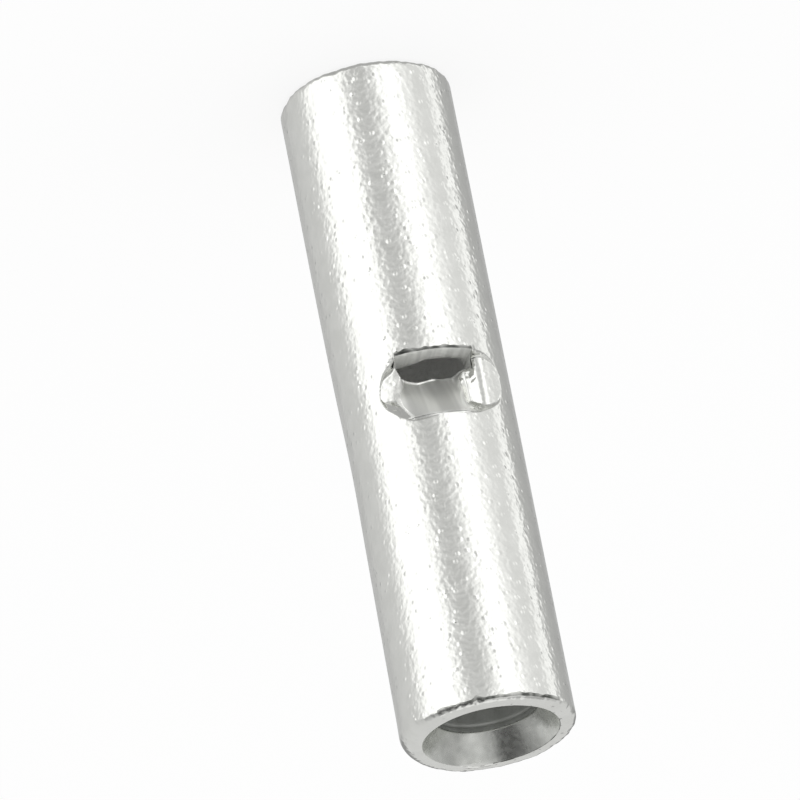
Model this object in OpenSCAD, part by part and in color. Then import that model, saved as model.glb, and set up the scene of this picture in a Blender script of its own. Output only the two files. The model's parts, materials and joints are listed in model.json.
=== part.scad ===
// Bare butt splice connector: a seamless tinned copper sleeve, open at both ends.
// A tab lanced out of its wall at mid-length is pressed into the bore as a wire stop,
// and the window that it leaves lets the two wire ends be inspected.
// The sleeve stands on one end on the XY plane, its axis is +Z and the window faces -Y.

/* [Tube] */
// Length of the sleeve
length = 16; // [12:0.5:30]
// Bore that takes the stripped wire ends
bore_d = 2.4; // [1.8:0.1:3.6]
// Thickness of the tube wall
wall = 0.75; // [0.6:0.05:1]

/* [Ends] */
// Radial width of the countersink in each mouth
flare_w = 0.37; // [0.2:0.01:0.42]
// Depth of the countersink in each mouth
flare_depth = 0.7; // [0.4:0.05:1.2]
// Radius of the rolled outer edge at each end
edge_r = 0.2; // [0.08:0.01:0.22]

/* [Wire stop] */
// Width of the tab, and of the shear cut that frees its end
tab_w = 1.8; // [1.3:0.05:2.1]
// Length of the tab from its bend line to its sheared end
tab_len = 1.6; // [1.3:0.05:2.2]
// Angle by which the tab is pressed into the bore
tab_angle = 34; // [30:1:42]
// Thickness of the tab, a little less than the wall that it is pressed from
tab_t = 0.65; // [0.5:0.05:0.75]
// Thickness of the stretched webs that still hold the tab along its sides
web_t = 0.22; // [0.15:0.01:0.35]
// Radius in the corners between the tab and its webs
corner_r = 0.18; // [0.1:0.02:0.3]

/* [Drawn-in ledges] */
// Width across the two ledges that the punch presses in beside the tab
ledge_w = 2.9; // [2.5:0.05:3.1]
// Depth of the ledges below the crest of the tube
ledge_depth = 0.55; // [0.35:0.01:0.6]
// Height of the middle of the ledges above the shear cut
ledge_rise = 0.8; // [0.6:0.05:1]
// Radius of the ledges' round outline
ledge_r = 0.75; // [0.6:0.05:0.9]
// How far the bore is drawn in around the stop
bore_waist = 0.03; // [0.01:0.01:0.06]
// Length of drawn-in bore beyond each end of the window
waist_run = 0.6; // [0.4:0.1:1]

/* [Hidden] */
$fn = 128;

// Overshoot of every cutting tool past the surface that it opens
over = 1;

bore_r = bore_d / 2;
outer_r = bore_r + wall;
mouth_r = bore_r + flare_w;
flare_slope = flare_w / flare_depth;

// The window is centred at mid-length, with the bend line above the shear cut
mid_z = length / 2;
bend_z = mid_z + tab_len / 2;
cut_z = mid_z - tab_len / 2;

// Drop of the round tube surface below its crest, at the sides of the tab
side_drop = outer_r - sqrt(outer_r * outer_r - tab_w * tab_w / 4);

// Slope of the still round surface beside the flattened one: both reach the same depth at the tab's end
round_angle = asin(sin(tab_angle) - side_drop / tab_len);

// Frame of the bent tab: origin on the bend line, +Y into the sleeve, -Z along the tab
module in_tab_frame(angle = tab_angle) {
    translate([0, -outer_r, bend_z])
        rotate([angle, 0, 0])
            children();
}

// Channel section with a flat floor and rounded corners, open towards -Y
module channel_section(half_w, floor_y, r) {
    mouth_y = -over - outer_r;
    translate([-half_w, mouth_y])
        square([2 * half_w, floor_y - r - mouth_y]);
    translate([r - half_w, mouth_y])
        square([2 * (half_w - r), floor_y - mouth_y]);
    for (side = [-1, 1])
        translate([side * (half_w - r), floor_y - r])
            circle(r);
}

// Outside of the sleeve as a solid bar with rolled end edges
module bar() {
    rotate_extrude() {
        square([outer_r - edge_r, length]);
        translate([0, edge_r])
            square([outer_r, length - 2 * edge_r]);
        for (z = [edge_r, length - edge_r])
            translate([outer_r - edge_r, z])
                intersection() {
                    circle(edge_r);
                    translate([0, -edge_r])
                        square(2 * edge_r);
                }
    }
}

// Bore with a countersunk mouth at each end and a slight waist at the stop
module bore() {
    over_r = mouth_r + flare_slope * over;
    rotate_extrude()
        polygon([
            [0, -over],
            [over_r, -over],
            [bore_r, flare_depth],
            [bore_r, cut_z - waist_run],
            [bore_r - bore_waist, mid_z],
            [bore_r, bend_z + waist_run],
            [bore_r, length - flare_depth],
            [over_r, length + over],
            [0, length + over],
        ]);
}

// Material of the tab and its webs, which stays standing inside the bore
module tab_stock() {
    in_tab_frame()
        translate([0, 0, -tab_len])
            linear_extrude(tab_len + over)
                channel_section(tab_w / 2 + web_t, tab_t, corner_r + web_t);
}

// Space above the tab: its face is still as round as the tube at the bend, and flat at its end
module above_tab() {
    in_tab_frame()
        translate([0, 0, -tab_len - over])
            linear_extrude(tab_len + 2 * over)
                channel_section(tab_w / 2, 0, corner_r);
    in_tab_frame(round_angle)
        difference() {
            translate([-tab_w / 2, -over, -tab_len - over])
                cube([tab_w, over + side_drop, tab_len + 2 * over]);
            translate([0, outer_r, -tab_len - 2 * over])
                cylinder(r = outer_r, h = tab_len + 4 * over);
        }
}

// Space that the punch leaves: above the pressed-in tab, and between its end and the shear cut
module pocket() {
    intersection() {
        union() {
            above_tab();
            in_tab_frame()
                translate([0, 0, -tab_len - over])
                    linear_extrude(over)
                        channel_section(tab_w / 2, tab_t, corner_r);
        }
        translate([-outer_r, -outer_r - over, cut_z])
            cube([2 * outer_r, outer_r + over, length]);
    }
}

// Round outlines of the ledges beside the tab, seen along Y
module ledge_outline() {
    difference() {
        for (side = [-1, 1])
            translate([side * (ledge_w / 2 - ledge_r), cut_z + ledge_rise])
                circle(ledge_r);
        translate([-tab_w / 2, 0])
            square([tab_w, length]);
    }
}

// Side profile of the ledges, as depth below the crest and height: a flat floor,
// and a slope like the tab's that comes up to the tube surface beside the bend line
module ledge_profile() {
    slope = tan(tab_angle);
    polygon([
        [-over, cut_z],
        [ledge_depth, cut_z],
        [ledge_depth, bend_z - (ledge_depth - side_drop) / slope],
        [-over, bend_z + (over + side_drop) / slope],
    ]);
}

// The two flat ledges that are pressed in beside the tab
module ledges() {
    intersection() {
        rotate([90, 0, 0])
            linear_extrude(outer_r + over)
                ledge_outline();
        translate([-outer_r, -outer_r, 0])
            rotate([90, 0, 90])
                linear_extrude(2 * outer_r)
                    ledge_profile();
    }
}

// The whole splice, one piece of tinned copper tube
module sleeve() {
    color([0.80, 0.80, 0.78])
        difference() {
            bar();
            difference() {
                bore();
                tab_stock();
            }
            pocket();
            ledges();
        }
}

sleeve();
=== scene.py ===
"""Looks of the bare butt splice sleeve: a fine mesh of the tinned tube with its lanced wire stop."""
import json
import math

import bpy
import numpy as np
from mathutils import Matrix, Vector


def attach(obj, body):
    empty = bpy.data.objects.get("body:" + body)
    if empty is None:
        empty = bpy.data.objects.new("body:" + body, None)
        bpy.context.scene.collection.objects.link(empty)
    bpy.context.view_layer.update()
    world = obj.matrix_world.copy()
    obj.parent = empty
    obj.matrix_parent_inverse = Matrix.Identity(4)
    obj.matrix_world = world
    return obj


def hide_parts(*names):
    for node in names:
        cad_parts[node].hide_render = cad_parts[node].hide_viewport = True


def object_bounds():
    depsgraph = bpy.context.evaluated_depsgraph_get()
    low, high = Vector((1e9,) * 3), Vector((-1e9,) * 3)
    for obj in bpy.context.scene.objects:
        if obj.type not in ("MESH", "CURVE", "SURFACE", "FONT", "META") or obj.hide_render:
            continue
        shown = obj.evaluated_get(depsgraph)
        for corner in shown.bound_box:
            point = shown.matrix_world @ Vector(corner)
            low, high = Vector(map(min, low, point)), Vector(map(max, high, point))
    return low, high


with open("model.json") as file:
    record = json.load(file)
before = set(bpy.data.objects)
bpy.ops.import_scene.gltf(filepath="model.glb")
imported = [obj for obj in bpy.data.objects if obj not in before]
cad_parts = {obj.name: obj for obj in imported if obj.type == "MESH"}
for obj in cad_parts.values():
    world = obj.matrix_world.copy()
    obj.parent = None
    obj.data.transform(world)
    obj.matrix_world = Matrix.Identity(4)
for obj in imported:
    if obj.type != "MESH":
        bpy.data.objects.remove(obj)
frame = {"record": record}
cad_low, cad_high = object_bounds()

# Sizes in millimetres: the tube from the frame, the rest the same as in the part's source or close to it
MM = 0.001
OUTER_R = (cad_high.x - cad_low.x) / 2 / MM
LENGTH = (cad_high.z - cad_low.z) / MM
BORE_R = next(m["dims"]["r_mm"] for m in frame["record"]["mounts"] if m["kind"] == "bore")
WALL = OUTER_R - BORE_R
FLARE_W = 0.37
FLARE_DEPTH = 0.65
EDGE_R = 0.2
TAB_W = 1.8
TAB_LEN = 1.57
TAB_ANGLE = math.radians(35)
TAB_T = 0.65

# The window sits a little above mid-length, from the cut up to the bend line
WINDOW_RISE = 0.065
BEND_Z = LENGTH / 2 + TAB_LEN / 2 + WINDOW_RISE
CUT_Z = LENGTH / 2 - TAB_LEN / 2 + WINDOW_RISE
CUT_HALF = math.asin(TAB_W / 2 / OUTER_R)

# The bore's paler finish, painted light where light through the window would fall, reaches this far to each
# side of mid-length
LIT_BORE_RUN = 5.2

# The bend: its length along the tab, and the shallow groove in it, which fades out beyond a share
# of the cut's half width and carries painted shade within an angle to each side
BEND_RUN = 0.08
BEND_GROOVE = 0.02
BEND_GROOVE_SPAN = 0.025
BEND_GROOVE_FULL = 0.8
SHADED_BEND_ANGLE = math.radians(23)

# The shear cut: the rounds of its edges, how uneven the tube's one is, and its share at the corners
SHEAR_ROUND = 0.06
CUT_ROUND = 0.08
CUT_WAVE = 0.45
CUT_PHASE = 0.7
SLIT_CORNER = 0.7

# Its inner edge is broken off towards -X: how far, over what length of the bore below,
# between which angles in radians this grows, up to which share of the cut's half width it is full,
# and between which shares of the wall it grows
CUT_BREAK = 0.35
CUT_BREAK_RUN = 1.0
CUT_BREAK_SIDE = (-0.28, 0.42)
CUT_BREAK_FULL = 0.75
CUT_BREAK_DEPTH = (0.7, 1)

# The tab's end: its distance from the cut by angle in degrees, the length over which that fades out
# and the share of the cut's half width up to which it is full, its wave,
# and the radius of its edge towards -X, which is full at an angle in radians
TAB_END = [(-30, 0), (-4, 0.04), (5, 0.09), (13, 0.16), (19, 0.11), (28, 0)]
TAB_END_RUN = 0.5
TAB_END_FULL = 0.85
TAB_END_WAVE = 0.012
TAB_END_PHASE = 0.4
TAB_END_ROUND = 0.16
TAB_END_ROUND_BY = 0.15

# The rest of that edge is curled up: how far, over what length, and between which angles it begins
TAB_CURL = 0.07
TAB_CURL_RUN = 0.12
TAB_CURL_FROM = (-0.1, -0.02)

# The tab's face goes flat, is dished and tapers on its +X side, by shares of its length
TAB_FLAT_BY = 0.6
TAB_DISH = 0.05
TAB_DISH_FROM = 0.2
TAB_TAPER = 0.24
TAB_TAPER_FROM = 0.3

# How straight behind the window's +X and -X sides its edge on the bore lies: 0 is radial, 1 straight.
# This fades out between two distances from the window.
STRAIGHT_PLUS = 0.45
STRAIGHT_MINUS = 0.8
STRAIGHT_NEAR = 1.0
STRAIGHT_FAR = 2.5

# The ledges pressed in beside the tab, on its +X and -X sides. Their outline by angle from the
# middle plane: height above the cut at which each begins and ends.
BEGIN_PLUS = [(27, 0), (32, 0.17), (38, 0.39), (41, 0.62), (43, 0.9)]
END_PLUS = [(0, 1.62), (26, 1.60), (34, 1.38), (41, 1.08), (43, 0.9)]
BEGIN_MINUS = [(27, 0), (40, 0.12), (46, 0.27), (49, 0.45), (51, 0.62)]
END_MINUS = [(0, 1.62), (26, 1.57), (38, 1.38), (45, 1.18), (49, 0.9), (51, 0.62)]

# Depth of the ledges below the crest, by angle: one nearly flat, the other rolled over towards the tab
LEDGE_PLUS = [(24, 0.53), (32, 0.57), (43, 0.57)]
LEDGE_MINUS = [
    (22, 0.69), (25, 0.635), (27.5, 0.575), (29, 0.54), (31, 0.515), (33, 0.505), (35, 0.51), (38, 0.54),
    (42, 0.58), (46, 0.635), (50.5, 0.70),
]
LEDGE_ROUND_PLUS = 0.03
LEDGE_ROUND_MINUS = 0.05
LEDGE_STEEP = math.tan(math.radians(76))
LEDGE_SLOPE_PLUS = math.tan(math.radians(27))
LEDGE_SLOPE_MINUS = math.tan(math.radians(46))

# The +X ledge leans over the tab: how far, where above the cut, from which share of the cut's
# half width on, and how far beyond the cut in radians
LEDGE_LEAN = 0.13
LEDGE_LEAN_AT = 0.42
LEDGE_LEAN_SPAN = 0.3
LEDGE_LEAN_FROM = 0.7
LEDGE_LEAN_REACH = 0.2

# The webs between tab and ledge, as angles where each starts and ends.
# Next to the cut they are torn, over the length of a leg, where one still holds a share of the tab.
WEB_PLUS = (math.radians(25), CUT_HALF)
WEB_MINUS = (math.radians(13), math.radians(22.5))
LEG = 0.36
LEG_STEP = 0.03
LEG_ROUND = 0.012
TIP_Z = CUT_Z + LEG
HELD_MINUS = 0.25

# The +X web's turn away from the tab, in degrees by height above the cut.
# It looks torn where it follows the tab only in part, by at least this share.
WEB_SPREAD = [(LEG, 0), (0.75, 3.3), (1.05, 1.5), (1.5, -4)]
TORN_WEB = 0.02

# Small rounds at the ends, how uneven the outer ones are, and the angles from the nick
# over which the top one grows to its plain size
TOP_EDGE_FRONT_R = 0.14
TOP_EDGE_PLAIN_BY = (math.radians(30), math.radians(90))
EDGE_WOBBLE = 0.2
TOP_PHASE = 1.3
LOW_PHASE = 0.6
LIP_R = 0.04
THROAT_R = 0.1

# The outer round is larger on one side: growth of the lower one, and size of the top one
# across and along the tube
LOW_EDGE_GROWTH = 0.07
PINCH_R = 0.34
PINCH_LONG = 0.36
PINCH_BEGIN = (math.radians(38), math.radians(88))
PINCH_END = (math.radians(112), math.radians(168))

# Stretches of the top's outer round and of its inner lip that carry painted shade
SHADED_EDGE_ANGLES = (math.radians(-46), math.radians(46))
SHADED_LIP_ANGLES = (math.radians(-172), math.radians(-70))

# The fine groove that the countersinking tool leaves below each mouth, and the step of the mesh in it
THROAT_GROOVE = 0.02
THROAT_GROOVE_AT = 0.13
THROAT_GROOVE_SPAN = 0.04
GROOVE_STEP = 0.02

# A nick in the top's outer round, and a burr on its inner lip
NICK_AT = math.radians(18)
NICK_SPAN = math.radians(2.2)
NICK_DEPTH = 0.07
BURR_AT = math.radians(176)
BURR_SPAN = math.radians(9)
BURR_HEIGHT = 0.04
BURR_ROUND = 0.06
BURR_LEAN = 0.03
BURR_WAVE = 0.4

# The outside stands out of round towards one side: (height, growth)
BELL = [(0, 0), (7, 0), (9.2, -0.03), (11, 0), (13.5, 0.04), (16, 0.08)]
BELL_SIDE = math.radians(103)

# The mesh: angle in degrees within which its columns are close, where its ends begin,
# and the number of rows in each of their rounds
CLOSE_SIDE = 58
END_RUN = 0.75
EDGE_STEPS = 10
LIP_STEPS = 7
THROAT_STEPS = 6
CONE_STEPS = 8
RIM_SHARES = (0.15, 0.4, 0.65, 0.85)

# Order of the finishes in the sleeve's material slots; the paler bore finish is painted light and the last,
# dark one is painted shade
OUTSIDE, PRESSED, SHEARED, MOUTH, BORE, LIT_BORE, PAINTED_SHADE = range(7)

# Rows of the mesh with painted shade, and faces across the slit that are bright or carry painted shade
SHADED_EDGE_ROWS = 3
SHADED_LIP_ROWS = 3
BEHIND_BURR = 2
BRIGHT_CURL = 3
SHADED_CUT_FACES = 2
SHADED_LEG_FACES = 3

# The photograph's view: angles in degrees, distance in metres, and the tube in its frame in pixels
VIEW_AZIMUTH = 13.0
VIEW_ELEVATION = 24.0
VIEW_ROLL = 168.76
VIEW_DISTANCE = 0.55
FRAME_PX = 800
TUBE_PX = 173.8
TUBE_MID_PX = (427.4, 414.8)


def smooth(low, high, value):
    """Eased step from 0 at low to 1 at high."""
    t = np.clip((value - low) / (high - low), 0, 1)
    return t * t * (3 - 2 * t)


def soft_min(a, b, reach):
    """Minimum of two fields, blended where they lie within reach of each other."""
    h = np.clip(0.5 + 0.5 * (b - a) / reach, 0, 1)
    return b * (1 - h) + a * h - reach * h * (1 - h)


def flowing(points, at):
    """Smooth curve through a few (place, value) points."""
    place, value = np.array(points, float).T
    slope = np.gradient(value, place)
    i = np.clip(np.searchsorted(place, at) - 1, 0, len(place) - 2)
    span = place[i + 1] - place[i]
    t = np.clip((at - place[i]) / span, 0, 1)
    before = value[i] * (1 + 2 * t) * (1 - t) ** 2 + slope[i] * span * t * (1 - t) ** 2
    after = value[i + 1] * (3 - 2 * t) * t * t - slope[i + 1] * span * t * t * (1 - t)
    return before + after


def spaced(stops):
    """Values from the first stop to the last, each stretch cut to about the step given at its start."""
    values = []
    for (start, step), (end, _) in zip(stops, stops[1:]):
        count = max(1, math.ceil((end - start) / step - 1e-6))
        values.extend(np.linspace(start, end, count, endpoint=False))
    return np.array(values + [stops[-1][0]])


def nearest(values, wanted):
    """Number of the value that lies nearest to the wanted one."""
    return int(np.argmin(np.abs(values - wanted)))


def wobble(phi, phase):
    """Small uneven wave round the tube, within about -1 and 1."""
    waves = [(7, 0.4), (13, 0.35), (29, 0.3), (53, 0.25)]
    return sum(size * np.sin(turns * phi + phase * turns) for turns, size in waves)


def bump(apart, span):
    """Rounded bump of height 1."""
    return np.exp(-((apart / span) ** 2))


def turn_from(phi, place):
    """Angle from a place to phi, within half a turn."""
    return np.angle(np.exp(1j * (phi - place)))


def within_cut(phi, full):
    """1 within a share of the cut's half angle, easing to 0 at the cut's sides."""
    return 1 - smooth(full * CUT_HALF, CUT_HALF, np.abs(phi))


def bell(phi, z):
    """How far the outside stands out of round."""
    lobe = np.maximum(np.cos(phi - BELL_SIDE), 0) ** 2
    return flowing(BELL, z) * lobe


def throat_depth():
    """Depth below the end face at which the countersink has run out into the bore."""
    slope = math.atan2(FLARE_W, FLARE_DEPTH)
    return FLARE_DEPTH + THROAT_R * math.tan(slope / 2)


def bore_radius(z):
    """The bore, with the fine groove below each mouth."""
    below = np.minimum(z, LENGTH - z) - throat_depth()
    return BORE_R + THROAT_GROOVE * bump(below - THROAT_GROOVE_AT, THROAT_GROOVE_SPAN)


def bore_turn(phi, z):
    """Angle on the bore that lies straight behind an angle on the outside, near the window."""
    above_low = smooth(CUT_Z - STRAIGHT_FAR, CUT_Z - STRAIGHT_NEAR, z)
    near = above_low * (1 - smooth(BEND_Z + STRAIGHT_NEAR, BEND_Z + STRAIGHT_FAR, z))
    edge = math.asin(OUTER_R / BORE_R * math.sin(CUT_HALF))
    behind = np.arcsin(np.clip(OUTER_R / BORE_R * np.sin(np.clip(phi, -CUT_HALF, CUT_HALF)), -1, 1))
    away = np.abs(phi)
    beyond = edge + (math.pi - edge) * (away - CUT_HALF) / (math.pi - CUT_HALF)
    straight = np.where(away <= CUT_HALF, behind, np.sign(phi) * beyond)
    return phi + near * np.where(phi >= 0, STRAIGHT_PLUS, STRAIGHT_MINUS) * (straight - phi)


def tube_point(phi, depth, z):
    """Point of the plain tube wall: depth 0 is its outside and 1 its bore side."""
    phi, z = np.broadcast_arrays(phi, z)
    behind = bore_turn(phi, z)
    outer = OUTER_R + bell(phi, z)
    inner = bore_radius(z)
    x = outer * np.sin(phi) * (1 - depth) + inner * np.sin(behind) * depth
    y = outer * np.cos(phi) * (1 - depth) + inner * np.cos(behind) * depth
    return np.stack([x, -y, z + 0.0], axis=-1)


def ledge_point(phi, depth, z):
    """Point of the wall where the punch has pressed it in beside the tab."""
    height = z - CUT_Z
    away = np.abs(phi)
    round_off = OUTER_R * (1 - np.cos(phi))
    sides = []
    for begin, end, floor_depth, slope, soft in (
        (BEGIN_PLUS, END_PLUS, LEDGE_PLUS, LEDGE_SLOPE_PLUS, LEDGE_ROUND_PLUS),
        (BEGIN_MINUS, END_MINUS, LEDGE_MINUS, LEDGE_SLOPE_MINUS, LEDGE_ROUND_MINUS),
    ):
        from_begin = (height - flowing(begin, np.degrees(away))) * LEDGE_STEEP
        from_end = (flowing(end, np.degrees(away)) - height) * slope
        flat = flowing(floor_depth, np.degrees(away)) - round_off
        inside = np.minimum(from_begin, soft_min(from_end, flat, soft))
        sides.append(np.maximum(inside, 0))
    sunk = np.where(phi >= 0, *sides)
    sunk = sunk + BEND_GROOVE * bump(z - BEND_Z, BEND_GROOVE_SPAN) * within_cut(phi, BEND_GROOVE_FULL)
    point = tube_point(phi, depth, z)
    point[..., 1] += sunk * (1 - depth)
    beside = 1 - smooth(CUT_HALF, CUT_HALF + LEDGE_LEAN_REACH, away)
    beside = beside * smooth(LEDGE_LEAN_FROM * CUT_HALF, CUT_HALF, phi)
    point[..., 0] -= LEDGE_LEAN * bump(height - LEDGE_LEAN_AT, LEDGE_LEAN_SPAN) * beside * (1 - depth)
    return point


def tab_end(phi):
    """How far the tab's end falls short of the cut, and the radius of its edge."""
    inside = within_cut(phi, TAB_END_FULL)
    short = flowing(TAB_END, np.degrees(phi)) + TAB_END_WAVE * wobble(phi, TAB_END_PHASE)
    edge = SHEAR_ROUND + (TAB_END_ROUND - SHEAR_ROUND) * smooth(0, TAB_END_ROUND_BY, -phi)
    return short * inside, edge * inside


def cut_break(phi, depth):
    """How far the cut drops towards the bore where its edge is broken off."""
    inside = smooth(*CUT_BREAK_SIDE, -phi) * within_cut(phi, CUT_BREAK_FULL)
    return CUT_BREAK * inside * smooth(*CUT_BREAK_DEPTH, depth)


def tab_point(phi, depth, z):
    """Point of the tab, which bends into the bore below the bend line."""
    run = BEND_Z - z + BEND_RUN / 2
    turn = TAB_ANGLE * np.clip(run / BEND_RUN, 0, 1)
    bend_r = BEND_RUN / TAB_ANGLE
    past = np.maximum(run - BEND_RUN, 0)
    forward = np.where(run < 0, run, bend_r * np.sin(turn) + past * math.cos(TAB_ANGLE))
    inward = bend_r * (1 - np.cos(turn)) + past * math.sin(TAB_ANGLE)
    share = np.clip((BEND_Z - z) / TAB_LEN, 0, 1)
    lean = TAB_ANGLE * np.clip(run / (TAB_LEN + BEND_RUN / 2), 0, 1)
    still_round = 1 - smooth(0, TAB_FLAT_BY, share)
    thick = WALL + (TAB_T - WALL) * share
    x = OUTER_R * np.sin(phi)
    crown = OUTER_R - np.sqrt(OUTER_R**2 - x**2)
    bore_crown = BORE_R - np.sqrt(np.maximum(BORE_R**2 - x**2, 0))
    level = depth * thick + (crown * (1 - depth) + bore_crown * depth) * still_round
    dish = TAB_DISH * smooth(TAB_DISH_FROM, 1, share) * (1 - (phi / CUT_HALF) ** 2)
    from_end = z - CUT_Z - tab_end(phi)[0]
    curl = TAB_CURL * (1 - smooth(0, TAB_CURL_RUN, from_end)) * smooth(*TAB_CURL_FROM, phi) * (1 - depth)
    taper = TAB_TAPER * np.clip((share - TAB_TAPER_FROM) / (1 - TAB_TAPER_FROM), 0, 1) * (phi > 0)
    x = x * (1 - taper)
    y = -OUTER_R + inward + level * np.cos(lean) + dish - curl
    z = BEND_Z + BEND_RUN / 2 - forward + level * np.sin(lean)
    return np.stack(np.broadcast_arrays(x, y, z), axis=-1)


def held(phi, z):
    """1 where the wall goes down with the tab, 0 where it stays with the tube."""
    away = np.abs(phi)
    height = z - CUT_Z
    untorn = smooth(0, LEG, height)
    spread = np.radians(flowing(WEB_SPREAD, height)) * (phi >= 0)
    plus = smooth(*WEB_PLUS, away - spread) * untorn
    minus = smooth(*WEB_MINUS, away) * (HELD_MINUS + (1 - HELD_MINUS) * untorn)
    rise = np.where(phi >= 0, plus, minus)
    return (1 - rise) * (away <= CUT_HALF + spread + 1e-6) * (z < BEND_Z + BEND_RUN / 2)


def lanced_point(phi, depth, z):
    """Point of the wall above the cut: tab, ledge or the web between them."""
    weight = held(phi, z)[..., None]
    return ledge_point(phi, depth, z) * (1 - weight) + tab_point(phi, depth, z) * weight


def edge_sizes(phi, top):
    """Size of an end's outer round across and along the tube, for each angle."""
    pinched = smooth(*PINCH_BEGIN, phi) * (1 - smooth(*PINCH_END, phi))
    if not top:
        edge = (EDGE_R + LOW_EDGE_GROWTH * pinched) * (1 + EDGE_WOBBLE * wobble(phi, LOW_PHASE))
        return edge, edge
    plain = smooth(*TOP_EDGE_PLAIN_BY, np.abs(turn_from(phi, NICK_AT)))
    edge = TOP_EDGE_FRONT_R + (EDGE_R - TOP_EDGE_FRONT_R) * plain
    edge = edge * (1 + EDGE_WOBBLE * wobble(phi, TOP_PHASE))
    nick = NICK_DEPTH * bump(turn_from(phi, NICK_AT), NICK_SPAN)
    across = edge + (PINCH_R - edge) * pinched + nick
    along = edge + (PINCH_LONG - edge) * pinched + nick
    return across, along


def end_profile(phi, top):
    """Rows of an end, as radius and depth below its face for each angle.

    They run from the outside over the outer round, the rim and its lip, and down the cone to the bore.
    """
    flat = np.zeros_like(phi)
    outside = OUTER_R + bell(phi, LENGTH * top + flat)
    across, along = edge_sizes(phi, top)
    rolled = []
    for t in np.radians(np.linspace(0, 90, EDGE_STEPS)):
        rolled.append((outside - across + across * math.cos(t), along - along * math.sin(t)))
    slope = math.atan2(FLARE_W, FLARE_DEPTH)
    fold = math.pi / 2 - slope
    burr = top * bump(turn_from(phi, BURR_AT), BURR_SPAN) * (1 + BURR_WAVE * wobble(phi, 2 * TOP_PHASE))
    round_r = LIP_R + BURR_ROUND * burr
    plain_r = BORE_R + FLARE_W + LIP_R * math.tan(fold / 2)
    lip_r = plain_r + BURR_ROUND * burr * math.tan(fold / 2) - BURR_LEAN * burr
    lip = []
    for t in np.linspace(0, fold, LIP_STEPS):
        lift = BURR_HEIGHT * burr * math.cos(t) ** 2
        lip.append((lip_r - round_r * math.sin(t), round_r - round_r * math.cos(t) - lift))
    rim = []
    for s in RIM_SHARES:
        rim.append((rolled[-1][0] * (1 - s) + lip[0][0] * s, lip[0][1] * s**4))
    throat = []
    for t in np.linspace(slope, 0, THROAT_STEPS):
        radius = BORE_R + THROAT_R * (1 - math.cos(t))
        throat.append((radius + flat, throat_depth() - THROAT_R * math.sin(t) + flat))
    cone = []
    cone_top = (plain_r - LIP_R * math.sin(fold) + flat, LIP_R - LIP_R * math.cos(fold) + flat)
    for s in np.linspace(0, 1, CONE_STEPS)[1:-1]:
        cone.append(tuple(a * (1 - s) + b * s for a, b in zip(cone_top, throat[0])))
    return rolled, rim + lip, cone + throat


def shear_strip():
    """Depths across the sheared wall, and how far each is pulled back to round the two edges."""
    quarter = np.radians([30, 60, 90])
    outside = [(SHEAR_ROUND * (1 - math.cos(t)) / WALL, 1 - math.sin(t)) for t in quarter]
    inside = [(1 - depth, pull) for depth, pull in reversed(outside)]
    middle = [(depth, 0.0) for depth in (0.25, 0.5, 0.75)]
    return [(0.0, 1.0)] + outside + middle + inside + [(1.0, 1.0)]


def column_angles():
    """Angles of the mesh's columns round the tube, closest at the window."""
    cut = math.degrees(CUT_HALF)
    stops = [(-180, 2.5), (-CLOSE_SIDE, 0.7), (-cut, 0.55), (cut, 0.7), (CLOSE_SIDE, 2.5), (180, 1)]
    return np.radians(spaced(stops)[:-1])


def outer_rows():
    """Heights of the mesh's rows on the outside, closest at the stop."""
    return spaced([
        (END_RUN, 0.3), (CUT_Z - 0.6, 0.2), (CUT_Z, LEG_STEP), (TIP_Z, 0.03), (BEND_Z - 0.2, 0.02),
        (BEND_Z + 0.3, 0.06), (BEND_Z + 0.7, 0.3), (LENGTH - END_RUN, 1),
    ])


def inner_rows():
    """Heights of the mesh's rows in the bore, closest at the stop and in the grooves below the mouths."""
    start = throat_depth() + GROOVE_STEP
    groove_end = throat_depth() + 2 * THROAT_GROOVE_AT
    return spaced([
        (start, GROOVE_STEP), (groove_end, 0.4), (CUT_Z - 0.5, 0.15), (CUT_Z, LEG_STEP), (TIP_Z, 0.06),
        (BEND_Z + 0.3, 0.12), (BEND_Z + 0.7, 0.4), (LENGTH - groove_end, GROOVE_STEP), (LENGTH - start, 1),
    ])


def sheet(columns, rows, depth):
    """Grid of one side of the wall: plain tube up to the cut, and the lanced wall above it."""
    phi = columns[:, None]
    z = rows[None, :]
    under_cut = 1 - np.clip((CUT_Z - z) / CUT_BREAK_RUN, 0, 1)
    tube = tube_point(phi, depth, z - cut_break(phi, depth) * under_cut)
    short, edge = tab_end(phi)
    near_end = 1 - np.clip((z - CUT_Z) / TAB_END_RUN, 0, 1)
    lanced = lanced_point(phi, depth, z + (short + edge) * near_end)
    return np.where((z > CUT_Z)[..., None], lanced, tube)


def rings(columns, profile, top):
    """Grid of one part of an end's profile."""
    grid = []
    for radius, below in profile:
        z = LENGTH - below if top else below
        grid.append(np.stack([radius * np.sin(columns), -radius * np.cos(columns), z], axis=-1))
    return np.stack(grid, axis=1)


def slit_places(first, last, legs):
    """The slit, from one leg's tip down to the cut, along it and up the other leg.

    Each place is (column, rows above the cut, direction away from the tab).
    """
    places = [(first, step, (-1, 0)) for step in range(legs, 0, -1)]
    places.append((first, 0, (0, -SLIT_CORNER)))
    places.extend((column, 0, (0, -1)) for column in range(first + 1, last))
    places.append((last, 0, (0, -SLIT_CORNER)))
    places.extend((last, step, (1, 0)) for step in range(1, legs + 1))
    return places


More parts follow.
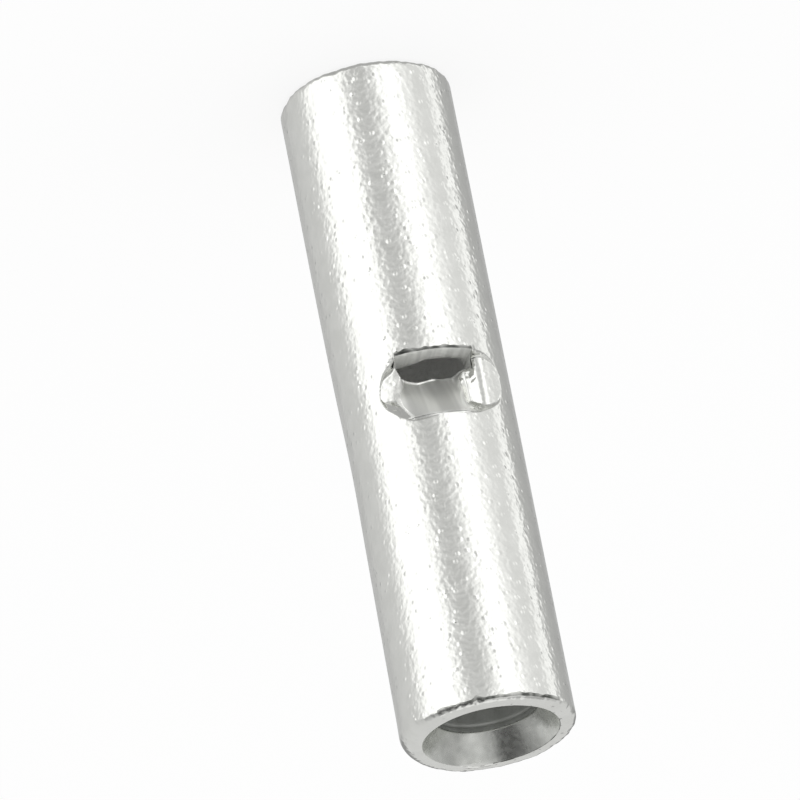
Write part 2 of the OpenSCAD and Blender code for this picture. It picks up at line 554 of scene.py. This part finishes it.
def slit_line(phi, z, step, away, on_tab):
    """Points across the wall at one place of the slit, on the tab's side of it or on the tube's."""
    short = 0.0
    opened = CUT_ROUND * (1 + CUT_WAVE * wobble(phi + z, CUT_PHASE))
    if step:
        opened = LEG_ROUND * (1 - smooth(0.5 * LEG, LEG, step * LEG_STEP))
    elif on_tab:
        short, opened = tab_end(phi)
    side = -1 if on_tab else 1
    points = []
    for depth, pull in shear_strip():
        shift = side * opened * pull
        at_phi = np.array(phi + shift * away[0] / OUTER_R)
        at_z = np.array(z + shift * away[1] + short)
        if on_tab:
            points.append(lanced_point(at_phi, depth, at_z))
        elif step:
            points.append(ledge_point(at_phi, depth, at_z))
        else:
            points.append(tube_point(at_phi, depth, at_z - cut_break(at_phi, depth)))
    return points


def sleeve_mesh():
    """Closed skin: columns round the tube and rows along a loop through its wall, slit round the tab."""
    columns = column_angles()
    outer_z = outer_rows()
    inner_z = inner_rows()
    count = len(columns)
    first = nearest(columns, -CUT_HALF)
    last = nearest(columns, CUT_HALF)
    cut_outer = nearest(outer_z, CUT_Z)
    bend_row = nearest(outer_z, BEND_Z)
    legs = nearest(outer_z, TIP_Z) - cut_outer

    outer = sheet(columns, outer_z, 0.0)
    inner = sheet(columns, inner_z, 1.0)
    top_edge, top_rim, top_cone = (rings(columns, part, True) for part in end_profile(columns, True))
    low_edge, low_rim, low_cone = (rings(columns, part, False) for part in end_profile(columns, False))
    stretches = [
        (outer, OUTSIDE), (top_edge, OUTSIDE), (top_rim, OUTSIDE), (top_cone, MOUTH), (inner[:, ::-1], BORE),
        (low_cone[:, ::-1], MOUTH), (low_rim[:, ::-1], OUTSIDE), (low_edge[:, ::-1], OUTSIDE),
    ]
    loop = np.concatenate([grid for grid, _ in stretches], axis=1)
    row_finish = np.concatenate([np.full(grid.shape[1], slot) for grid, slot in stretches])
    row_height = loop[0, :, 2]
    # Painted light: the bore round mid-length takes a paler copy of its tin
    row_finish[(row_finish == BORE) & (np.abs(row_height - LENGTH / 2) < LIT_BORE_RUN)] = LIT_BORE
    per_loop = loop.shape[1]
    verts = list(loop.reshape(-1, 3))
    edge_start, rim_start, cone_start, inner_start, inner_end = (
        int(end) for end in np.cumsum([grid.shape[1] for grid, _ in stretches[:5]])
    )
    inner_cut = inner_end - 1 - nearest(inner_z, CUT_Z)
    painted_shade_edge = range(edge_start, edge_start + SHADED_EDGE_ROWS)
    shaded_lip_rows = range(cone_start - 1 - SHADED_LIP_ROWS, cone_start - 1)
    behind_burr = rim_start + BEHIND_BURR
    tab_share = held(columns[:, None], outer_z[None, :] + LEG_STEP / 2)

    def index(column, row):
        return (column % count) * per_loop + row % per_loop

    def add(point):
        verts.append(point)
        return len(verts) - 1

    # The tab's side of the slit has its own vertices
    own = {}
    slit = slit_places(first, last, legs)
    lines = {False: [], True: []}
    for column, step, away in slit:
        outer_row = cut_outer + step
        inner_row = inner_cut - step
        place = (columns[column], outer_z[outer_row], step, away)
        points = slit_line(*place, False)
        verts[index(column, outer_row)] = points[0]
        verts[index(column, inner_row)] = points[-1]
        line = [index(column, outer_row)] + [add(p) for p in points[1:-1]] + [index(column, inner_row)]
        lines[False].append(line)
        if step == legs:
            lines[True].append(line)
            continue
        tab_line = [add(p) for p in slit_line(*place, True)]
        own[column, outer_row] = tab_line[0]
        own[column, inner_row] = tab_line[-1]
        lines[True].append(tab_line)

    def tab_index(column, row):
        return own.get((column, row), index(column, row))

    def wall_slot(column, row):
        """Finish of the face that starts at a column and row."""
        angle = columns[column]
        with_tab = tab_share[column, row] if cut_outer <= row < edge_start else 0.0
        # Painted shade in the row behind the burr
        if row == behind_burr and abs(turn_from(angle, BURR_AT)) < BURR_SPAN / 2:
            return PAINTED_SHADE
        # Painted shade in the groove along the bend
        if row == bend_row and abs(angle) < SHADED_BEND_ANGLE:
            return PAINTED_SHADE
        # Painted shade on the inner lip and the outer round of the top
        if row in shaded_lip_rows and SHADED_LIP_ANGLES[0] < angle < SHADED_LIP_ANGLES[1]:
            return PAINTED_SHADE
        if row in painted_shade_edge and SHADED_EDGE_ANGLES[0] < angle < SHADED_EDGE_ANGLES[1]:
            return PAINTED_SHADE
        if angle > 0 and TORN_WEB < with_tab < 1 - TORN_WEB:
            return SHEARED
        if with_tab > 0.5:
            return PRESSED
        return row_finish[(row + 1) % per_loop]

    def slit_slot(column, step, across, on_tab):
        """Finish of a face of the slit: bright on the tab's curled end, painted shade on the tube's outer
        edge.
        """
        if on_tab:
            curled = columns[column] > 0 and not step
            return OUTSIDE if curled and across < BRIGHT_CURL else SHEARED
        # Painted shade on the tube's faces along the cut and up the legs
        shaded = SHADED_LEG_FACES if step else SHADED_CUT_FACES
        return PAINTED_SHADE if column < last and across < shaded else SHEARED

    faces = []
    slots = []
    for column in range(count):
        in_slit = first <= column < last
        for row in range(per_loop):
            on_lanced = cut_outer <= row < edge_start or inner_start <= row < inner_cut
            pick = tab_index if in_slit and on_lanced else index
            corners = [(column, row), (column + 1, row), (column + 1, row + 1), (column, row + 1)]
            faces.append([pick(c, r) for c, r in corners])
            slots.append(wall_slot(column, row))
    for on_tab, side in lines.items():
        for (column, step, _), a, b in zip(slit, side, side[1:]):
            for across in range(len(a) - 1):
                face = [a[across], b[across], b[across + 1], a[across + 1]]
                faces.append(face[::-1] if on_tab else face)
                slots.append(slit_slot(column, step, across, on_tab))

    mesh = bpy.data.meshes.new("sleeve_skin")
    mesh.from_pydata((np.array(verts) * MM).tolist(), [], faces)
    mesh.polygons.foreach_set("material_index", slots)
    mesh.polygons.foreach_set("use_smooth", [True] * len(mesh.polygons))
    mesh.validate()
    return mesh


class Nodes:
    """Short calls for building a node tree."""

    def __init__(self, tree):
        self.tree = tree

    def add(self, kind, **values):
        node = self.tree.nodes.new("ShaderNode" + kind)
        for name, value in values.items():
            setattr(node, name, value)
        return node

    def feed(self, socket, value):
        if isinstance(value, bpy.types.NodeSocket):
            self.tree.links.new(value, socket)
        else:
            socket.default_value = value

    def math(self, operation, a, b=0.0):
        node = self.add("Math", operation=operation)
        self.feed(node.inputs[0], a)
        self.feed(node.inputs[1], b)
        return node.outputs[0]

    def span(self, value, low, high, to_low, to_high):
        """Value mapped from one range to another, eased at both ends."""
        node = self.add("MapRange", interpolation_type="SMOOTHSTEP")
        for socket, number in zip(node.inputs, (value, low, high, to_low, to_high)):
            self.feed(socket, number)
        return node.outputs["Result"]

    def step(self, value, ends):
        """Eased step from 0 at the first end to 1 at the second."""
        return self.span(value, *ends, 0, 1)

    def blend(self, share, a, b, blend_type="MIX"):
        node = self.add("Mix", data_type="RGBA", blend_type=blend_type)
        self.feed(node.inputs["Factor"], share)
        self.feed(node.inputs["A"], a)
        self.feed(node.inputs["B"], b)
        return node.outputs["Result"]

    def scaled(self, share, colour, factor):
        return self.blend(share, colour, factor, "MULTIPLY")


# Turn of the noise, so that its own grid doesn't line up with the tube, and its stretch where it has none
GRAIN_TURN = (0.6, 0.4, 0.9)
EVEN = (1, 1, 1)

# Ranges of the noise over which the tin goes from dark to light, and from dull to shiny
STAIN_SPAN = (0.32, 0.68)
SHINE_SPAN = (0.3, 0.7)

# Unit of the tin's relief, in metres
MICROMETRE = 1e-6


def material(name):
    """New material with its nodes and its shader."""
    mat = bpy.data.materials.new(name)
    mat.use_nodes = True
    return mat, Nodes(mat.node_tree), mat.node_tree.nodes["Principled BSDF"]


def grain_place(nodes, stretch):
    """Place on the sleeve in millimetres, stretched along its axes and then turned."""
    coord = nodes.add("TexCoord")
    place = nodes.add("Mapping")
    place.inputs["Scale"].default_value = [s / MM for s in stretch]
    place.inputs["Rotation"].default_value = GRAIN_TURN
    nodes.feed(place.inputs["Vector"], coord.outputs["Object"])
    return place.outputs["Vector"]


def grain(nodes, stretch, scale, detail):
    """Noise of a given number of cells to the millimetre, stretched along the axes."""
    noise = nodes.add("TexNoise")
    noise.inputs["Scale"].default_value = scale
    noise.inputs["Detail"].default_value = detail
    nodes.feed(noise.inputs["Vector"], grain_place(nodes, stretch))
    return noise.outputs["Fac"]


def specks(nodes, scale, size):
    """Small round specks, 1 in their middle, of a given number to the millimetre."""
    cells = nodes.add("TexVoronoi")
    cells.inputs["Scale"].default_value = scale
    nodes.feed(cells.inputs["Vector"], grain_place(nodes, EVEN))
    return nodes.span(cells.outputs["Distance"], 0, size, 1, 0)


def finish(name, light, dark, roughness, metallic, waves, spots=()):
    """Tin with an uneven surface, heights in micrometres.

    Waves are (stretch, cells per mm, detail, height) and spots are (number per mm, size, height).
    """
    mat, nodes, shader = material(name)
    shader.inputs["Metallic"].default_value = metallic
    fields = [grain(nodes, stretch, scale, detail) for stretch, scale, detail, _ in waves]
    heights = [(field, wave[-1]) for field, wave in zip(fields, waves)]
    heights.extend((specks(nodes, number, size), tall) for number, size, tall in spots)
    height = 0.0
    for field, tall in heights:
        height = nodes.math("ADD", height, nodes.math("MULTIPLY", field, tall))
    stain = nodes.step(fields[0], STAIN_SPAN)
    shiny, dull = roughness
    nodes.feed(shader.inputs["Base Color"], nodes.blend(stain, dark, light))
    nodes.feed(shader.inputs["Roughness"], nodes.span(fields[-1], *SHINE_SPAN, dull, shiny))
    relief = nodes.add("Bump")
    relief.inputs["Strength"].default_value = 1.0
    relief.inputs["Distance"].default_value = MICROMETRE
    nodes.feed(relief.inputs["Height"], height)
    nodes.feed(shader.inputs["Normal"], relief.outputs["Normal"])
    return mat


def tin_finishes():
    """The seven finishes of the sleeve, in the order of its material slots."""
    outside = finish(
        "bright_tin", (0.81, 0.815, 0.785, 1), (0.77, 0.775, 0.745, 1), (0.11, 0.16), 1.0,
        [(EVEN, 2.4, 1.0, 8), (EVEN, 9.0, 0.6, 11)], [(4.2, 0.33, 11.0), (2.2, 0.15, -9.0)],
    )
    tab = finish(
        "pressed_tin", (0.97, 0.975, 0.94, 1), (0.70, 0.705, 0.68, 1), (0.28, 0.36), 0.75,
        [((1, 0.05, 0.05), 4.0, 1.0, 16)],
    )
    sheared = finish(
        "sheared_tin", (0.80, 0.805, 0.775, 1), (0.62, 0.625, 0.60, 1), (0.4, 0.55), 0.3,
        [((1, 0.1, 1), 7.0, 1.0, 10), (EVEN, 9.0, 1.0, 9)],
    )
    mouth = finish(
        "mouth_tin", (0.76, 0.77, 0.735, 1), (0.62, 0.63, 0.60, 1), (0.24, 0.32), 1.0,
        [(EVEN, 3.0, 1.0, 5), (EVEN, 8.0, 1.0, 4)],
    )
    inside = finish(
        "bore_tin", (0.50, 0.51, 0.49, 1), (0.40, 0.41, 0.39, 1), (0.4, 0.5), 0.6,
        [((1, 1, 0.1), 2.4, 1.0, 14), (EVEN, 8.0, 1.0, 9)],
    )
    # Painted light: a paler, non-metal copy of the bore's tin, laid where light through the window would
    # fall
    lit_bore = finish(
        "painted_light_bore_tin", (0.97, 0.97, 0.95, 1), (0.93, 0.93, 0.91, 1), (0.5, 0.6), 0.0,
        [(EVEN, 8.0, 1.0, 9)],
    )
    # Painted shade: a dark tin laid on grooves, creases and edges where shade falls
    shaded = finish(
        "painted_shade_edge", (0.55, 0.555, 0.53, 1), (0.12, 0.125, 0.115, 1), (0.3, 0.45), 1.0,
        [(EVEN, 4.5, 1.0, 8), (EVEN, 9.0, 1.0, 9)],
    )
    return outside, tab, sheared, mouth, inside, lit_bore, shaded


def view_direction(aside=0.0):
    """From the object to the camera, or to a place at the same height that many degrees beside it."""
    azimuth = math.radians(VIEW_AZIMUTH - aside)
    elevation = math.radians(VIEW_ELEVATION)
    level = math.cos(elevation)
    return Vector((math.sin(azimuth) * level, -math.cos(azimuth) * level, math.sin(elevation)))


def camera():
    """Camera that sees the sleeve as large and in the same place as the photograph does."""
    data = bpy.data.cameras.new("camera")
    obj = bpy.data.objects.new("camera", data)
    bpy.context.scene.collection.objects.link(obj)
    bpy.context.scene.camera = obj
    back = view_direction()
    roll = Matrix.Rotation(math.radians(VIEW_ROLL), 3, "Z")
    turn = (-back).to_track_quat("-Z", "Y").to_matrix() @ roll
    px = 2 * OUTER_R * MM / TUBE_PX
    offset_x = (TUBE_MID_PX[0] - FRAME_PX / 2) * px
    offset_y = (TUBE_MID_PX[1] - FRAME_PX / 2) * px
    middle = Vector((0, 0, LENGTH / 2 * MM))
    aim = middle - turn @ Vector((offset_x, -offset_y, 0))
    obj.matrix_world = Matrix.Translation(aim + back * VIEW_DISTANCE) @ turn.to_4x4()
    data.sensor_width = 36
    data.lens = data.sensor_width * VIEW_DISTANCE / (FRAME_PX * px)
    data.clip_start = 0.01
    data.clip_end = 10


# The floor's half width in metres, and its share of plain white where the camera sees it
FLOOR_HALF = 1.0
FLOOR_GLOW = 0.8


def floor():
    """Pale floor that takes the sleeve's shadow and isn't mirrored in the sleeve."""
    low, high = -FLOOR_HALF, FLOOR_HALF
    mesh = bpy.data.meshes.new("floor")
    mesh.from_pydata([(low, low, 0), (high, low, 0), (high, high, 0), (low, high, 0)], [], [(0, 1, 2, 3)])
    obj = bpy.data.objects.new("floor", mesh)
    bpy.context.scene.collection.objects.link(obj)
    mat, nodes, shader = material("pale_floor")
    shader.inputs["Base Color"].default_value = (0.95, 0.95, 0.95, 1)
    shader.inputs["Roughness"].default_value = 0.9
    path = nodes.add("LightPath")
    glow = nodes.add("Emission")
    mix = nodes.add("MixShader")
    nodes.feed(mix.inputs["Fac"], nodes.math("MULTIPLY", path.outputs["Is Camera Ray"], FLOOR_GLOW))
    nodes.feed(mix.inputs[1], shader.outputs["BSDF"])
    nodes.feed(mix.inputs[2], glow.outputs["Emission"])
    nodes.feed(mat.node_tree.nodes["Material Output"].inputs["Surface"], mix.outputs["Shader"])
    mesh.materials.append(mat)
    obj.visible_glossy = False


# Radiance of the studio round the sleeve, by azimuth in degrees from the camera: low down, and above
STUDIO = [
    (-180, 0.60), (-148, 0.55), (-134, 0.66), (-100, 0.72), (-91, 0.84), (-84, 1.10), (-76, 1.34),
    (-36, 1.42), (-28, 1.22), (-18, 0.78), (-8, 0.65), (2, 0.66), (10, 0.78), (20, 1.10), (30, 1.40),
    (46, 1.42), (58, 1.10), (74, 0.88), (90, 0.84), (99, 1.08), (107, 1.24), (113, 0.80), (122, 0.54),
    (148, 0.46), (180, 0.60),
]
STUDIO_ABOVE = [
    (-180, 0.72), (-140, 0.74), (-107, 0.70), (-75, 0.40), (-48, 0.20), (-24, 0.26), (-6, 0.46), (8, 0.62),
    (48, 0.74), (75, 0.44), (100, 0.50), (125, 0.74), (180, 0.72),
]

# Its brightest level, and the levels overhead, straight below, at the horizon behind the sleeve
# and of a dark panel that many degrees beside the camera
STUDIO_PEAK = 1.42
STUDIO_OVERHEAD = 0.95
STUDIO_BELOW = 0.48
STUDIO_HORIZON = 0.30
STUDIO_DARK = 0.08
STUDIO_DARK_ASIDE = -30

# Share by which the front of the low ring is darker at its foot and lighter at its top
STUDIO_FRONT_RISE = 0.14

# Where each part begins and is full, by how far a direction points up, to the front or to the panel
RISE_SPAN = (-0.66, -0.16)
FRONT_SPAN = (0.74, 0.88)
ABOVE_SPAN = (-0.12, 0.22)
OVERHEAD_SPAN = (0.88, 0.96)
BELOW_SPAN = (-0.72, -0.96)
HORIZON_LOW_SPAN = (-0.34, -0.24)
HORIZON_HIGH_SPAN = (0.18, 0.04)
BEHIND_SPAN = (-0.78, -0.9)
DARK_SPAN = (0.86, 0.96)


def studio():
    """World that lights evenly and is mirrored in the tin as soft panels round the sleeve."""
    world = bpy.data.worlds.new("studio")
    bpy.context.scene.world = world
    world.use_nodes = True
    tree = world.node_tree
    nodes = Nodes(tree)
    coord = nodes.add("TexCoord")
    azimuth = math.radians(VIEW_AZIMUTH)

    def along(vector):
        node = nodes.add("VectorMath", operation="DOT_PRODUCT")
        nodes.feed(node.inputs[0], coord.outputs["Generated"])
        node.inputs[1].default_value = vector
        return node.outputs["Value"]

    up = along((0, 0, 1))
    front = along((math.sin(azimuth), -math.cos(azimuth), 0))
    side = along((-math.cos(azimuth), -math.sin(azimuth), 0))
    turn = nodes.math("ARCTAN2", side, front)
    share = nodes.math("ADD", nodes.math("MULTIPLY", turn, 0.5 / math.pi), 0.5)

    def grey(level):
        value = level / STUDIO_PEAK
        return (value, value, value, 1)

    def ring(levels):
        ramp = nodes.add("ValToRGB")
        ramp.color_ramp.interpolation = "LINEAR"
        stops = ramp.color_ramp.elements
        while len(stops) < len(levels):
            stops.new(0.5)
        for stop, (degrees, level) in zip(stops, levels):
            stop.position = degrees / 360 + 0.5
            stop.color = grey(level)
        nodes.feed(ramp.inputs["Fac"], share)
        return ramp.outputs["Color"]

    rising = nodes.span(up, *RISE_SPAN, 1 - STUDIO_FRONT_RISE, 1 + STUDIO_FRONT_RISE)
    low_ring = nodes.scaled(nodes.step(front, FRONT_SPAN), ring(STUDIO), rising)
    level = nodes.blend(nodes.step(up, ABOVE_SPAN), low_ring, ring(STUDIO_ABOVE))
    level = nodes.blend(nodes.step(up, OVERHEAD_SPAN), level, grey(STUDIO_OVERHEAD))
    level = nodes.blend(nodes.step(up, BELOW_SPAN), level, grey(STUDIO_BELOW))
    horizon = nodes.math("MULTIPLY", nodes.step(up, HORIZON_LOW_SPAN), nodes.step(up, HORIZON_HIGH_SPAN))
    behind = nodes.math("MULTIPLY", horizon, nodes.step(front, BEHIND_SPAN))
    level = nodes.blend(behind, level, grey(STUDIO_HORIZON))
    panel = nodes.step(along(view_direction(STUDIO_DARK_ASIDE)), DARK_SPAN)
    level = nodes.blend(panel, level, grey(STUDIO_DARK))
    lit = tree.nodes["Background"]
    nodes.feed(lit.inputs["Color"], level)
    lit.inputs["Strength"].default_value = STUDIO_PEAK
    plain = nodes.add("Background")
    plain.inputs["Color"].default_value = (1, 1, 1, 1)
    path = nodes.add("LightPath")
    mix = nodes.add("MixShader")
    nodes.feed(mix.inputs["Fac"], path.outputs["Is Glossy Ray"])
    nodes.feed(mix.inputs[1], plain.outputs["Background"])
    nodes.feed(mix.inputs[2], lit.outputs["Background"])
    nodes.feed(tree.nodes["World Output"].inputs["Surface"], mix.outputs["Shader"])


sleeve = bpy.data.objects.new("sleeve_tin", sleeve_mesh())
bpy.context.scene.collection.objects.link(sleeve)
for tin in tin_finishes():
    sleeve.data.materials.append(tin)
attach(sleeve, "root")
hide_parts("sleeve")
camera()
floor()
studio()
bpy.context.scene.view_settings.view_transform = "Standard"
